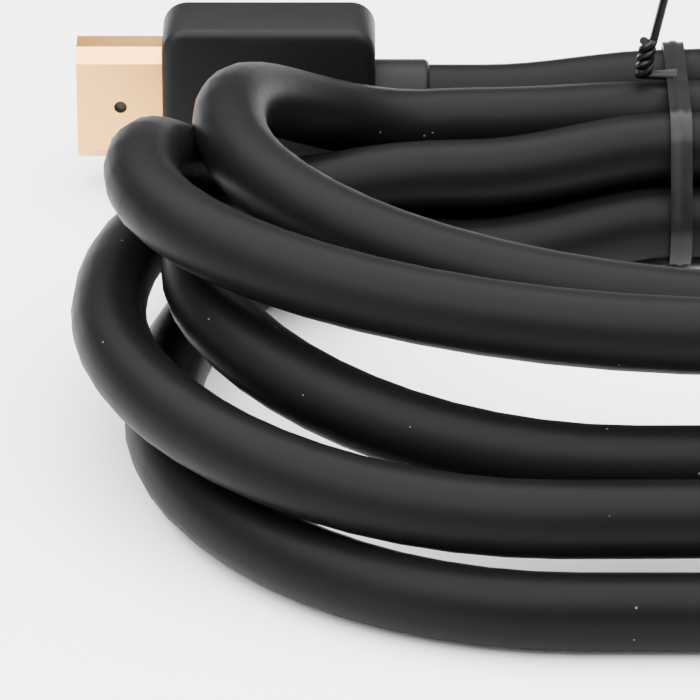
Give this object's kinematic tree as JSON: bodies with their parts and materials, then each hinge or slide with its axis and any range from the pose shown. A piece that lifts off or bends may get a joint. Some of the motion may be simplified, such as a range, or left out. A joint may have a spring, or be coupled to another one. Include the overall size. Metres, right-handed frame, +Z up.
{
  "type": "hdmi cable",
  "caption": "Coiled round video cable with a moulded rectangular plug on each end, held by a twist tie.",
  "frame": {"origin": "floor level, under the middle of the box round the whole cable", "axes": "+Z up from the floor, +X along the coil's runs towards the second plug, +Y from the near runs to the far runs"},
  "size_m": [0.163, 0.1286, 0.0338],
  "materials": {
    "jacket": "satin",
    "plug_body": "satin",
    "gold_shell": "satin",
    "insulator": "matte",
    "tie": "satin"
  },
  "bodies": {
    "root": {"cable_jacket": "jacket", "plug_a_body": "plug_body", "plug_a_shell": "gold_shell", "plug_a_insulator": "insulator", "plug_b_body": "plug_body", "plug_b_shell": "gold_shell", "plug_b_insulator": "insulator", "twist_tie": "tie"}
  },
  "joints": []
}
